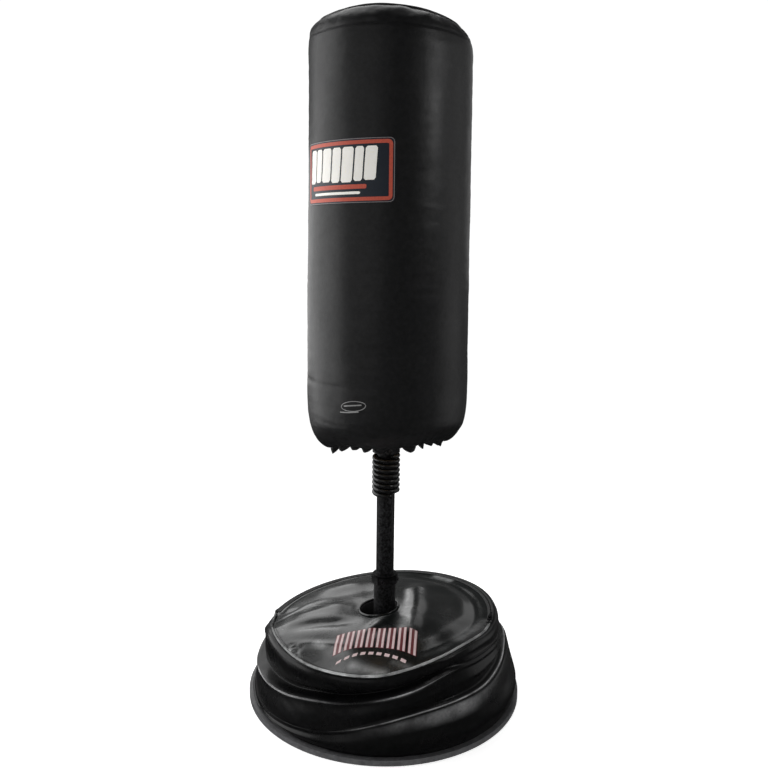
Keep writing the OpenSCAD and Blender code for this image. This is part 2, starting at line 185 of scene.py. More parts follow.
def rumple(points, size, seed, octaves=2):
    """Smooth noise from -1 to 1 at points; size is the lumps' size in metres (or three sizes)."""
    p = np.asarray(points, float).reshape(-1, 3) / np.asarray(size, float) + seed * 17.31
    out = np.empty(len(p))
    for i, q in enumerate(p):
        out[i] = noise.fractal(Vector(q), 0.6, 2.1, octaves, noise_basis="PERLIN_ORIGINAL")
    return out.reshape(np.asarray(points).shape[:-1])


PANEL_MIDDLE = np.array([PANEL_X, 0, 0])
RIM = (
    Matrix.Translation((PANEL_X, 0, RIM_Z))
    @ Matrix.Rotation(RIM_HIGH, 4, "Z")
    @ Matrix.Rotation(-RIM_TILT, 4, "Y")
    @ Matrix.Rotation(-RIM_HIGH, 4, "Z")
)


def on_rim(angle, radius, height):
    """A point in the frame of the base cover's tilted rim."""
    a = math.radians(angle)
    return RIM @ Vector((radius * math.cos(a), radius * math.sin(a), height))


# ---- mesh makers


SHEET = 0.0015  # the vinyl's thickness
TUBE_SIDES = 12


def add(name, verts, faces, mat, smooth=True):
    """A new mesh object in the scene."""
    mesh = bpy.data.meshes.new(name)
    mesh.from_pydata([tuple(v) for v in verts], [], [tuple(f) for f in faces])
    mesh.validate()
    mesh.update()
    mesh.polygons.foreach_set("use_smooth", [smooth] * len(mesh.polygons))
    obj = bpy.data.objects.new(name, mesh)
    scene.collection.objects.link(obj)
    mesh.materials.append(mat)
    return obj


def grid_faces(nu, nv, loop_u, loop_v=False):
    """The four-cornered faces of a grid of nu by nv points, closed along either way if asked."""
    f = []
    for i in range(nu if loop_u else nu - 1):
        k = (i + 1) % nu
        for j in range(nv if loop_v else nv - 1):
            m = (j + 1) % nv
            f.append((i * nv + j, k * nv + j, k * nv + m, i * nv + m))
    return f


def thicken(obj, thickness):
    """Gives a sheet its thickness, towards its inside."""
    m = obj.modifiers.new("thickness", "SOLIDIFY")
    m.thickness = thickness
    m.offset = -1


def lattice(name, grid, mat, loop_u=False, thickness=0.0):
    """A surface through grid, an array (nu, nv, 3). Its outside is where u turning to v points."""
    nu, nv = grid.shape[:2]
    obj = add(name, grid.reshape(-1, 3), grid_faces(nu, nv, loop_u), mat)
    if thickness:
        thicken(obj, thickness)
    return obj


def rub_and_highlight(obj, amounts):
    """Marks where obj's vinyl is painted paler, for creases rubbed pale and for painted highlights and sheen,
    one value from 0 to 1 for each point.
    """
    layer = obj.data.attributes.new("rub_and_highlight", "FLOAT", "POINT")
    layer.data.foreach_set("value", np.clip(np.asarray(amounts, float), 0, 1).ravel())


def tube(name, path, radius, mat, sides=TUBE_SIDES, closed=False):
    """A tube along path with capped ends. radius is one number or one for each point."""
    path = np.asarray(path, float)
    n = len(path)
    radius = np.broadcast_to(np.asarray(radius, float), (n,))
    if closed:
        tangent = np.roll(path, -1, 0) - np.roll(path, 1, 0)
    else:
        tangent = np.gradient(path, axis=0)
    tangent /= np.linalg.norm(tangent, axis=1)[:, None]
    up = np.tile([0.0, 0.0, 1.0], (n, 1))
    side = np.cross(tangent, up)
    side /= np.linalg.norm(side, axis=1)[:, None] + 1e-12
    up = np.cross(side, tangent)
    w = np.linspace(0, 2 * math.pi, sides, endpoint=False)
    rings = (
        path[:, None]
        + side[:, None] * (np.cos(w)[None, :, None] * radius[:, None, None])
        + up[:, None] * (np.sin(w)[None, :, None] * radius[:, None, None])
    )
    faces = grid_faces(n, sides, closed, True)
    if not closed:
        faces += [tuple(range(sides))[::-1], tuple(range((n - 1) * sides, n * sides))]
    return add(name, rings.reshape(-1, 3), faces, mat)


def stitches(name, path, normals, mat, pitch=0.006, length=0.0042, width=0.0011, rise=0.0004):
    """A row of thread stitches: each a small arched bead lying along the path."""
    path, normals = np.asarray(path, float), np.asarray(normals, float)
    d = run_length(path)
    verts, faces = [], []

    def at(q):
        return np.array([np.interp(q, d, path[:, k]) for k in range(3)])

    # along a stitch: (near end's share, far end's share, width, height); then across it: (side, height)
    steps = ((1, 0, 0.4, -0.2), (0.7, 0.3, 1, 1), (0.3, 0.7, 1, 1), (0, 1, 0.4, -0.2))
    across = ((-1, -0.3), (-0.6, 1), (0.6, 1), (1, -0.3))
    for s in np.arange(pitch / 2, d[-1] - pitch / 2, pitch):
        a, b = at(s - length / 2), at(s + length / 2)
        nrm = np.array([np.interp(s, d, normals[:, k]) for k in range(3)])
        nrm /= np.linalg.norm(nrm)
        t = (b - a) / np.linalg.norm(b - a)
        side = np.cross(nrm, t) * width / 2
        base = len(verts)
        for near, far, wide, high in steps:
            for sx, sz in across:
                up = rise * (high if sz > 0 else -0.5)
                verts.append(a * near + b * far + side * sx * wide + nrm * up)
        for k in range(3):
            for j in range(3):
                o = base + k * 4 + j
                faces.append((o, o + 4, o + 5, o + 1))
    return add(name, verts, faces, mat)


# ---- materials


class Mat:
    """A procedural material: a Principled shader and a few helpers to drive it."""

    def __init__(self, name, colour, roughness, metallic=0.0, **sockets):
        self.m = bpy.data.materials.new(name)
        self.m.use_nodes = True
        self.t = self.m.node_tree
        self.b = self.t.nodes["Principled BSDF"]
        self.b.inputs["Base Color"].default_value = (*colour, 1)
        self.b.inputs["Roughness"].default_value = roughness
        self.b.inputs["Metallic"].default_value = metallic
        for k, v in sockets.items():
            self.b.inputs[k.replace("_", " ")].default_value = v
        self.coords = self.new("ShaderNodeTexCoord").outputs["Object"]
        self.last_bump = None

    def new(self, kind, inputs=(), **props):
        n = self.t.nodes.new(kind)
        for k, v in dict(inputs).items():
            n.inputs[k].default_value = v
        for k, v in props.items():
            setattr(n, k, v)
        return n

    def join(self, out, socket):
        self.t.links.new(out, socket)

    def scaled(self, scale):
        n = self.new("ShaderNodeMapping")
        n.inputs["Scale"].default_value = scale if hasattr(scale, "__len__") else (scale,) * 3
        self.join(self.coords, n.inputs["Vector"])
        return n.outputs["Vector"]

    def noise(self, size, detail=3.0, rough=0.55, distortion=0.0):
        """Noise with lumps of about size metres (or three sizes)."""
        s = [1 / x for x in size] if hasattr(size, "__len__") else 1 / size
        inputs = {"Scale": 1.0, "Detail": detail, "Roughness": rough, "Distortion": distortion}
        n = self.new("ShaderNodeTexNoise", inputs)
        self.join(self.scaled(s), n.inputs["Vector"])
        return n.outputs["Fac"]

    def cells(self, size):
        """Distance to the middle of the nearest cell, for cells of about size metres."""
        n = self.new("ShaderNodeTexVoronoi", {"Scale": 1.0})
        self.join(self.scaled(1 / size), n.inputs["Vector"])
        return n.outputs["Distance"]

    def remap(self, value, lo, hi, a, b):
        """The value with lo to hi stretched to a to b, and held there."""
        n = self.new("ShaderNodeMapRange", {"From Min": lo, "From Max": hi, "To Min": a, "To Max": b})
        self.join(value, n.inputs["Value"])
        return n.outputs["Result"]

    def maths(self, op, a, b=None):
        n = self.new("ShaderNodeMath", operation=op)
        for k, v in enumerate((a, b)):
            if v is None:
                continue
            if isinstance(v, (int, float)):
                n.inputs[k].default_value = v
            else:
                self.join(v, n.inputs[k])
        return n.outputs[0]

    def rough(self, value, lo, hi, a, b):
        """Roughness from a to b where the value goes from lo to hi."""
        self.join(self.remap(value, lo, hi, a, b), self.b.inputs["Roughness"])

    def colours(self, value, stops):
        """Base colour from a ramp: stops is a list of (position, (r, g, b))."""
        n = self.new("ShaderNodeValToRGB")
        r = n.color_ramp
        while len(r.elements) < len(stops):
            r.elements.new(0.5)
        for e, (p, c) in zip(r.elements, stops):
            e.position, e.color = p, (*c, 1)
        self.join(value, n.inputs["Fac"])
        self.join(n.outputs["Color"], self.b.inputs["Base Color"])
        return n.outputs["Color"]

    def bump(self, value, depth):
        """Adds a bump whose full height is depth metres."""
        n = self.new("ShaderNodeBump", {"Strength": 1.0, "Distance": depth})
        self.join(value, n.inputs["Height"])
        if self.last_bump is not None:
            self.join(self.last_bump, n.inputs["Normal"])
        self.last_bump = n.outputs["Normal"]
        self.join(self.last_bump, self.b.inputs["Normal"])


def vinyl(name, colour, rough_lo, rough_hi, grain=0.00006, coat=0.0, soften=0.0006, specular=0.5, pale=None):
    """Black PVC sheet: a fine pebbled grain, faint scuffs and smudges that change the gloss."""
    m = Mat(name, colour, rough_lo, Specular_IOR_Level=specular, Coat_Weight=coat, Coat_Roughness=0.17)
    smudge = m.noise((0.09, 0.09, 0.14), 4.0, 0.6)
    m.rough(smudge, 0.3, 0.7, rough_lo, rough_hi)
    dust = m.noise(0.012, 5.0, 0.7)
    light = tuple(min(1, c * 1.9 + 0.002) for c in colour)
    shade = m.colours(dust, [(0.35, colour), (0.8, light)])
    if pale:  # where the surface is marked it is paler: creases rubbed pale, and painted highlights and sheen
        mark = m.new("ShaderNodeAttribute", attribute_name="rub_and_highlight").outputs["Fac"]
        mark = m.maths("MULTIPLY", mark, m.remap(m.noise(0.006, 4.0, 0.6), 0.3, 0.7, 0.75, 1.1))
        over = m.new("ShaderNodeMix", data_type="RGBA", clamp_factor=True)
        m.join(mark, over.inputs["Factor"])
        m.join(shade, over.inputs[6])
        over.inputs[7].default_value = (*pale, 1)
        m.join(over.outputs[2], m.b.inputs["Base Color"])
    m.bump(m.noise((0.03, 0.03, 0.05), 3.0, 0.5), soften)
    m.bump(m.cells(0.0016), grain)
    m.bump(m.noise(0.0006, 2.0), grain * 0.5)
    return m.m


def powder_coat(name, colour, rough=0.36, specular=0.5):
    """Powder-coated steel: a slight orange peel and rubbed, greyer edges."""
    m = Mat(name, colour, rough, Specular_IOR_Level=specular)
    m.rough(m.noise(0.05, 4.0), 0.3, 0.7, rough - 0.06, rough + 0.1)
    geo = m.new("ShaderNodeNewGeometry")
    edges = m.remap(geo.outputs["Pointiness"], 0.52, 0.6, 0, 1)
    wear = m.maths("MULTIPLY", edges, m.remap(m.noise(0.006, 4.0), 0.4, 0.7, 0, 1))
    m.colours(wear, [(0.0, colour), (1.0, (0.03, 0.03, 0.032))])
    m.bump(m.noise(0.0025, 3.0), 0.00005)
    m.bump(m.noise(0.0009, 2.0), 0.00002)
    return m.m


def bare_metal(name, colour, rough):
    """Bare or plated metal with faint brushed lines."""
    m = Mat(name, colour, rough, metallic=1.0)
    m.rough(m.noise(0.01, 5.0), 0.3, 0.7, rough - 0.08, rough + 0.12)
    m.colours(m.noise(0.02, 4.0), [(0.3, tuple(c * 0.8 for c in colour)), (0.7, colour)])
    m.bump(m.noise((0.0004, 0.0004, 0.004), 2.0), 0.00001)
    return m.m


def plain_stuff(name, dark, light, rough, size, depth):
    """Mottled matter: size is the mottle's, depth the bump's, in metres."""
    m = Mat(name, light, rough)
    m.colours(m.noise(size, 5.0, 0.6), [(0.3, dark), (0.7, light)])
    m.rough(m.noise(size, 3.0), 0.3, 0.7, rough - 0.08, min(1, rough + 0.08))
    m.bump(m.noise(size / 4, 4.0), depth)
    return m.m


def woven(name, dark, light, pitch=0.0008):
    """Woven tape: two crossing thread waves."""
    m = Mat(name, dark, 0.9, Sheen_Weight=0.25, Sheen_Roughness=0.5)
    waves = []
    for axis in ("X", "Y", "Z"):
        w = m.new("ShaderNodeTexWave", {"Scale": 1.0}, wave_type="BANDS", bands_direction=axis)
        m.join(m.scaled(0.314 / pitch), w.inputs["Vector"])
        waves.append(w.outputs["Fac"])
    both = m.maths("MULTIPLY", m.maths("ADD", waves[0], waves[2]), waves[1])
    m.colours(both, [(0.2, dark), (0.9, light)])
    m.bump(both, 0.00015)
    return m.m


def printed(name, colour, rough=0.42, painted_glow=0.0):
    """Screen-printed ink: slightly uneven, with the sheet's grain under it; a glow, painted light, makes it
    brighter.
    """
    m = Mat(name, colour, rough, Emission_Color=(*colour, 1), Emission_Strength=painted_glow)
    worn = m.noise(0.004, 5.0, 0.7)
    m.colours(worn, [(0.25, tuple(c * 0.72 for c in colour)), (0.6, colour)])
    m.rough(worn, 0.3, 0.7, rough, rough + 0.15)
    m.bump(m.cells(0.0016), 0.00005)
    return m.m


def plywood(name):
    """Plywood: long stretched grain."""
    m = Mat(name, (0.5, 0.34, 0.18), 0.7)
    grain = m.noise((0.12, 0.006, 0.002), 5.0, 0.6, 0.6)
    m.colours(grain, [(0.3, (0.32, 0.19, 0.09)), (0.7, (0.6, 0.43, 0.25))])
    m.bump(m.noise((0.1, 0.002, 0.002), 4.0), 0.0002)
    return m.m


def foam(name):
    """Open-celled foam."""
    m = Mat(name, (0.09, 0.09, 0.1), 0.95)
    m.colours(m.cells(0.003), [(0.1, (0.03, 0.03, 0.035)), (0.6, (0.13, 0.13, 0.145))])
    m.bump(m.cells(0.003), 0.0008)
    return m.m


BAG_VINYL = vinyl("bag_vinyl", (0.0075, 0.0075, 0.008), 0.36, 0.46, specular=0.32)
# The base's two vinyls turn to their pale colour where marked: creases rubbed pale, and painted highlights
# and sheen.
BASE_VINYL = vinyl("base_vinyl", (0.0035, 0.0045, 0.0043), 0.2, 0.3, 0.00003, 0.3, 0.0005,
                   pale=(0.62, 0.63, 0.63))
WALL_VINYL = vinyl("base_wall_vinyl", (0.0026, 0.0026, 0.0028), 0.24, 0.34, 0.00003, 0.0, 0.0005, 0.24,
                   pale=(0.85, 0.85, 0.86))
LINING = plain_stuff("cover_lining", (0.03, 0.03, 0.032), (0.075, 0.075, 0.078), 0.75, 0.004, 0.0002)
STEEL = powder_coat("black_powder_coat", (0.002, 0.002, 0.0022), 0.4, 0.14)
SPRING_STEEL = powder_coat("black_spring_steel", (0.003, 0.003, 0.0033), 0.26)
BLACK_OXIDE = bare_metal("black_oxide_steel", (0.06, 0.06, 0.065), 0.35)
ZINC = bare_metal("zinc_plated_steel", (0.55, 0.56, 0.58), 0.32)
RUBBER = plain_stuff("black_rubber", (0.012, 0.012, 0.012), (0.03, 0.03, 0.03), 0.62, 0.006, 0.00012)
TRIM = vinyl("edge_trim_vinyl", (0.072, 0.072, 0.075), 0.34, 0.46, grain=0.00005)
SAND = plain_stuff("sand", (0.36, 0.26, 0.14), (0.6, 0.48, 0.3), 0.95, 0.0012, 0.0006)
NYLON = plain_stuff("nylon", (0.6, 0.58, 0.5), (0.75, 0.73, 0.65), 0.45, 0.01, 0.00004)
PVC = plain_stuff("grey_pvc", (0.5, 0.5, 0.5), (0.66, 0.66, 0.66), 0.4, 0.02, 0.00003)
PLYWOOD = plywood("plywood")
FOAM = foam("foam")
TAPE = woven("zip_tape", (0.002, 0.002, 0.002), (0.012, 0.012, 0.012))
TEETH = plain_stuff("zip_teeth", (0.003, 0.003, 0.003), (0.02, 0.02, 0.02), 0.35, 0.002, 0.00005)
CORD = woven("drawcord", (0.004, 0.004, 0.004), (0.02, 0.02, 0.02), 0.0006)
THREAD = woven("black_thread", (0.01, 0.01, 0.01), (0.04, 0.04, 0.04), 0.0004)
LABEL_GROUND = printed("label_ground", (0.011, 0.019, 0.033))
# The label's red and white and the base's print glow a little: painted light that makes the ink brighter.
LABEL_RED = printed("label_red", (0.6, 0.1, 0.06), painted_glow=0.1)
LABEL_WHITE = printed("label_white", (0.9, 0.88, 0.83), painted_glow=0.28)
LABEL_LINE = printed("label_line", (0.3, 0.27, 0.27))
BASE_PRINT = printed("base_print", (0.8, 0.62, 0.62), 0.25, painted_glow=0.13)
BASE_PRINT_EDGE = printed("base_print_edge", (0.2, 0.045, 0.05), 0.25)

SLOT_MATERIAL = {
    "vinyl": BASE_VINYL, "bag_vinyl": BAG_VINYL, "black_steel": STEEL, "spring_steel": SPRING_STEEL,
    "zinc_steel": ZINC, "rubber": RUBBER, "sand": SAND, "zip_tape": TAPE, "zip_teeth": TEETH,
    "nylon": NYLON, "pvc": PVC, "plywood": PLYWOOD, "foam": FOAM, "cord": CORD, "label": LABEL_GROUND,
    "label_border": LABEL_RED,
}
for part in frame["record"]["subparts"]:
    mesh = nodes[part["node"]].data
    mesh.materials.clear()
    mesh.materials.append(SLOT_MATERIAL[part["material_slot"]])
nodes["edge_trim"].data.materials[0] = TRIM
for screw in ("set_screw_front", "set_screw_side"):
    nodes[screw].data.materials[0] = BLACK_OXIDE

# ---- the bag

# The bag's half outline (radius, height) in mm: the drawn-in bottom, a straight taper and the round shoulder.
BAG_PROFILE = [
    (126, 700), (134, 686), (142, 674), (149, 668), (156, 669), (166, 674), (176, 682), (187, 697),
    (197, 722), (203, 755), (206, 800), (206, 900), (203, 1270), (200, 1640), (199, 1684), (197, 1703),
    (191, 1716), (182, 1726), (172, 1730),
]
PLEATS = 24
pleat_at = np.sort((np.arange(PLEATS) + rng.uniform(-0.32, 0.32, PLEATS)) * 360 / PLEATS)
pleat_depth = rng.uniform(0.45, 1.0, PLEATS)


def pleating(a):
    """From -1 in a pleat's fold to 1 on its crown, round the gathered hem."""
    a = np.asarray(a, float) % 360
    edges = np.r_[pleat_at[-1] - 360, pleat_at, pleat_at[0] + 360]
    k = np.clip(np.searchsorted(edges, a) - 1, 0, len(edges) - 2)
    f = np.clip((a - edges[k]) / (edges[k + 1] - edges[k]), 0, 1)
    return (2 * np.abs(np.sin(np.pi * f)) ** 0.8 - 1) * pleat_depth[k % PLEATS]


def bag_lift(a):
    """How far the hem is drawn up: more at the front than at the sides."""
    return (0.034 * ease((-np.sin(np.radians(a)) - 0.1) / 0.8) + 0.003 * np.cos(np.radians(2 * a + 30))
            + 0.018 * bell(turn_apart(a, -15), 0, 42))


def bag_dent(a, z):
    """How far the cover's wall stands out of (or in from) its plain shape."""
    p = polar(0.2, a, z)
    d = 0.0016 * rumple(p, (0.16, 0.16, 0.3), 3) + 0.0005 * rumple(p, (0.09, 0.09, 0.035), 5)
    d += 0.00035 * rumple(p, (0.06, 0.06, 0.013), 7)
    # a soft horizontal crease low on the left, and a short one beside the label
    d -= 0.0016 * bell(z, 0.853, 0.006) * ease((turn_apart(-112, a)) / 14) * ease((turn_apart(a, -172)) / 12)
    d -= 0.0014 * bell(z, 1.362, 0.004) * bell(turn_apart(a, -74), 0, 9)
    # the foam's upper edge shows as a faint step
    d += 0.0012 * bell(z, 1.655, 0.03)
    return d


def slump(points):
    """Lets the right shoulder of the bag's top sag; it takes and gives an array of points."""
    p = np.array(points, float)
    a, r = np.degrees(np.arctan2(p[..., 1], p[..., 0])), np.hypot(p[..., 0], p[..., 1])
    high = ease((p[..., 2] - 1.64) / 0.085)
    side = bell(turn_apart(a, -18), 0, 52)
    left = bell(turn_apart(a, -150), 0, 30)
    drop = high * ease((r - 0.085) / 0.1) * (0.022 * side + 0.009 * left)
    pull = 1 - high * ease((r - 0.1) / 0.08) * (0.03 * side + 0.01 * left)
    p[..., 0] *= pull
    p[..., 1] *= pull
    p[..., 2] -= drop
    return p


def bag_wall(a, z, out=0.0):
    """A point on the bag's outside at azimuth a degrees and height z, out metres proud."""
    r = np.interp(z, BAG_Z, BAG_R) + bag_dent(a, z) + out
    return polar(r, a, z)


smooth_profile = spline(np.array(BAG_PROFILE) / 1000, 16)
upper = smooth_profile[smooth_profile[:, 1].argmin():]
BAG_Z, BAG_R = upper[:, 1], upper[:, 0]

section = even(smooth_profile, 0.0052)
angles = np.arange(0, 360, 1.25)
A, S = pairing(angles, np.arange(len(section)))
R0, Z0 = section[S, 0], section[S, 1]
Rr = R0 + bag_dent(A, Z0) * ease((R0 - 0.15) / 0.03)
gather = ease((0.712 - Z0) / 0.045)  # grows towards the hem
Rr += gather**2 * pleating(A) * 0.0032
Zz = Z0 + bag_lift(A) * ease((0.775 - Z0) / 0.1)
Zz -= gather**3 * (pleating(A) * 0.5 + 0.5) * 0.002
# the top edge is slightly crumpled where the panel is sewn in
crumple = ease((Z0 - 1.68) / 0.03)
P0 = polar(R0, A, Z0)
Rr += crumple * 0.0018 * rumple(P0, (0.03, 0.03, 0.02), 21)
Zz += crumple * 0.0016 * rumple(P0, (0.05, 0.05, 0.03), 22)
grid = slump(polar(Rr, A, Zz))
bag = lattice("bag_cover", grid, BAG_VINYL, loop_u=True, thickness=SHEET)
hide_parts("bag_side_wall", "foam_core")

# top panel, slightly domed and slack
rings = np.linspace(1.0, 0.0, 46)[:-1]
A, T = pairing(angles, rings)
R = T * 0.1685
Z = 1.7315 + 0.0066 * (1 - T**2)
P0 = polar(R, A, Z)
creases = np.abs(rumple(P0, (0.05, 0.05, 0.05), 33))
Z = Z + (0.0022 * rumple(P0, (0.09, 0.09, 0.09), 31, 3) - 0.0008 * creases) * ease((1 - T) / 0.15)
grid = slump(polar(R, A, Z))
verts = list(grid.reshape(-1, 3)) + [grid[:, -1].mean(0)]
n, m = grid.shape[:2]
faces = grid_faces(n, m, True) + [(i * m + m - 1, ((i + 1) % n) * m + m - 1, n * m) for i in range(n)]
top = add("bag_top", verts, faces, BAG_VINYL)
thicken(top, SHEET)
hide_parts("bag_top_panel", "foam_top_pad")

wob = 0.0007 * rumple(polar(0.17, angles, 0), 0.05, 41)
path = polar(0.1708 + wob, angles, 1.7318 + wob)
welt = tube("bag_welt", slump(path), 0.0028, BAG_VINYL, closed=True)
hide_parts("bag_top_welt")
path = polar(0.1765, angles, 1.7293)
path = np.vstack([path, path[:1]])
nrm = polar(0.35, angles, 0.94)
welt_thread = stitches("bag_welt_stitches", slump(path + [0, 0, 0.0004]), np.vstack([nrm, nrm[:1]]), THREAD)

# strip over the back seam, with two rows of stitching
u = np.linspace(86.6, 93.4, 9)
v = np.arange(0.745, 1.7, 0.005)
U, V = pairing(u, v)
proud = 0.0012 * ease((3.4 - np.abs(U - 90)) / 0.5) + 0.0002
seam = lattice("bag_back_seam_strip", bag_wall(U, V, proud), BAG_VINYL)
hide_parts("bag_back_seam")
seam_threads = []
for k, a in enumerate((87.3, 92.7)):
    p = bag_wall(np.full(len(v), a), v, 0.0016)
    t = stitches(f"bag_back_stitches_{k + 1}", p, polar(1.0, a, 0 * v), THREAD)
    seam_threads.append(t)

# the hem's ruffle hangs below the gathers
a = np.arange(0, 360, 0.75)
v = np.linspace(0, 1, 11)
A, V = pairing(a, v)
crown = pleating(A)
lift = bag_lift(A)
R = 0.15 - 0.014 * V + (0.003 + 0.008 * V) * crown * ease(V / 0.3)
R += 0.002 * rumple(np.stack([A / 400, 0 * A, V / 40], -1), 0.02, 91)
Z = 0.6745 + lift - 0.012 * V - 0.0095 * V * (crown + 0.5)
Z += 0.002 * V * rumple(np.stack([A / 300, 0 * A, 0 * A], -1), 0.03, 92)
ruffle = lattice("bag_hem_ruffle", polar(R, A, Z)[:, ::-1], BAG_VINYL, loop_u=True, thickness=0.0014)
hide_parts("bag_hem")

# drawcord in the hem, seen between the pleats from below
a = np.arange(0, 360, 3.0)
r = 0.1235 + 0.0012 * pleating(a)
draw = tube("hem_drawcord", polar(r, a, 0.7005 + bag_lift(a) * 0.4), 0.0032, CORD, closed=True)
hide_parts("hem_cord")

# ---- label

LABEL_LEFT, LABEL_RIGHT = -163.0, -86.6  # its ends, as azimuths
LABEL_LOW, LABEL_HIGH = 1.291, 1.438
LABEL_SLOPE = 0.0085  # the left end hangs lower
LABEL_W = math.radians(LABEL_RIGHT - LABEL_LEFT) * 203  # in mm, on the bag's radius
LABEL_H = (LABEL_HIGH - LABEL_LOW) * 1000


def on_label(u, v, out):
    """A point of the label: u from 0 at its left to 1 at its right, v from 0 low to 1 high."""
    u, v = np.broadcast_arrays(np.asarray(u, float), np.asarray(v, float))
    a = LABEL_LEFT + (LABEL_RIGHT - LABEL_LEFT) * u
    z = LABEL_LOW + (LABEL_HIGH - LABEL_LOW) * v - LABEL_SLOPE * (1 - u)
    return bag_wall(a, z, out)


def label_patch(name, x0, x1, y0, y1, mat, out, lean=0.0, corner=0.0, nu=40, nv=16, thick=0.0):
    """A patch of the label in millimetres from its lower left corner; lean shifts its top to the right."""
    s, t = pairing(np.linspace(0, 1, nu), np.linspace(0, 1, nv))
    x, y = x0 + (x1 - x0) * s, y0 + (y1 - y0) * t
    if corner:
        dy = np.minimum(y - y0, y1 - y)
        cut = np.where(dy < corner, corner - np.sqrt(np.maximum(0, corner**2 - (corner - dy) ** 2)), 0)
        x = x0 + cut + (x1 - x0 - 2 * cut) * s
    x = x + lean * t
    return lattice(name, on_label(x / LABEL_W, y / LABEL_H, out), mat, thickness=thick)


def label_frame(name, inset, width, corner, mat, out):
    """A rounded rectangular band, inset millimetres inside the label's edge."""
    rows = []
    for k in np.linspace(0, 1, 4):
        d = inset + width * k
        r = max(0.5, corner - width * k)
        pts = []
        right, top_y, low = LABEL_W - d - r, LABEL_H - d - r, d + r
        for cx, cy, q in ((right, top_y, 0), (low, top_y, 1), (low, low, 2), (right, low, 3)):
            for g in np.linspace(0, 90, 9):
                b = math.radians(q * 90 + g)
                pts.append((cx + r * math.cos(b), cy + r * math.sin(b)))
        pts.append(pts[0])
        pts = np.array(pts)
        s = run_length(pts)
        q = np.linspace(0, 1, 161)[:-1] * s[-1]
        rows.append(np.stack([np.interp(q, s, pts[:, 0]), np.interp(q, s, pts[:, 1])], -1))
    g = np.array(rows).transpose(1, 0, 2)[:, ::-1]
    return lattice(name, on_label(g[..., 0] / LABEL_W, g[..., 1] / LABEL_H, out), mat, loop_u=True)


ground = label_patch("label", 0, LABEL_W, 0, LABEL_H, LABEL_GROUND, 0.0007, corner=12, nu=90, nv=48,
                     thick=0.0006)
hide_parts("label_patch")
border = label_frame("label_border_print", 5.5, 8.5, 10, LABEL_RED, 0.0009)
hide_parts("label_border")
line = label_frame("label_edge_line", 1.2, 1.6, 11, LABEL_LINE, 0.0009)
prints = [ground, border, line]
# a row of plain slanted blocks, a red bar and a thin pale bar
x = 20.0
for k, width in enumerate((27, 22, 29, 25, 30, 21, 28)):
    low = 50 + 2 * math.sin(k * 1.3)
    p = label_patch(f"label_block_{k + 1}", x, x + width, low, 128, LABEL_WHITE, 0.0009, lean=5, corner=4,
                    nu=10, nv=18)
    prints.append(p)
    x += width + 4.0
for name, x0, x1, y0, y1, mat in (
    ("label_red_bar", 34, 205, 33, 43, LABEL_RED), ("label_pale_bar", 44, 190, 21, 27, LABEL_WHITE),
):
    p = label_patch(name, x0, x1, y0, y1, mat, 0.0009, corner=3, nu=50, nv=8)
    prints.append(p)


def wall_band(name, pts, width, mat, out=0.0004):
    """A flat printed line on the bag's wall through (azimuth, height) points."""
    p = spline(np.array(pts, float), 8)
    q = bag_wall(p[:, 0], p[:, 1], out)
    t = np.gradient(q, axis=0)
    t /= np.linalg.norm(t, axis=1)[:, None]
    n = polar(1.0, p[:, 0], 0 * p[:, 0])
    side = np.cross(t, n) * width / 2
    return lattice(name, np.stack([q + side, q - side], 1)[:, ::-1], mat)


# small pale outline mark low on the bag
MARK = printed("mark_print", (0.34, 0.34, 0.34))
turns = np.radians(np.arange(0, 361, 30))
oval = np.stack([-113 + 9 * np.cos(turns), 0.813 + 0.012 * np.sin(turns) + 0.004 * np.cos(turns)], -1)
mark_1 = wall_band("small_mark_oval", oval, 0.0016, MARK)
mark_2 = wall_band("small_mark_bar", [(-123, 0.795), (-116, 0.797), (-109, 0.801)], 0.0028, MARK)
mark_3 = wall_band("small_mark_stroke", [(-120, 0.811), (-113, 0.815), (-107, 0.818)], 0.003, MARK)
prints += [mark_1, mark_2, mark_3]

for o in [bag, top, welt, welt_thread, seam, ruffle, draw, *seam_threads, *prints]:
    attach(o, "bag")

# ---- the spring


def coil(name, t1, t2):
    """The spring's wire from turn t1 to turn t2."""
    t = np.linspace(t1, t2, int((t2 - t1) * 48) + 1)
    flat = np.minimum(ease(t / 0.75), ease((SPRING_TURNS - t) / 0.75))  # flat is worked out but not used: the coils keep one pitch right to the ends
    z = SPRING_Z + SPRING_PITCH * t
    r = np.full(len(t), WIRE_R * 0.995)
    for end, sign in ((0.0, 1), (SPRING_TURNS, -1)):
        near = np.clip((t - end) * sign / 0.02, 0, 1)
        r *= np.sqrt(np.clip(1 - (1 - near) ** 2 * 0.35, 0, 1))
    return tube(name, polar(COIL_R, -360 * t - 60, z), r, SPRING_STEEL, sides=20)


middle = SPRING_TURNS / 2
lower = coil("spring_lower_half", 0.0, middle)
upper_half = coil("spring_upper_half", middle, SPRING_TURNS)
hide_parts("spring_lower", "spring_middle")
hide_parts("spring_upper")
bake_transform(lower)
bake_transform(upper_half)

# ---- the base's cover

# The side wall hangs in three rolls. Each table gives heights or widths in mm round the base:
# -180 is the left, -90 the front, 0 the right and 90 the back.
# the rim where there is no zip: low along the front left, then a quick rise to the right
FRONT_RIM_Z = around_table(
    (-180, 170), (-165, 190), (-150, 190), (-120, 185), (-90, 190), (-75, 205), (-60, 220), (-45, 230),
    (-15, 225), (45, 210), (90, 190), (135, 170), (165, 160),
)
FRONT_RIM_R = around_table(
    (-180, 285), (-150, 285), (-120, 295), (-60, 300), (0, 300), (90, 300), (150, 300),
)
# the shoulder of the top roll, and how far below the rim it lies
SHOULDER_R = around_table((-180, 305), (-135, 305), (-90, 310), (-45, 320), (0, 320), (90, 315), (135, 310))
SHOULDER_DROP = around_table((-180, 10), (-150, 25), (-105, 25), (-60, 20), (0, 25), (90, 20), (150, 15))
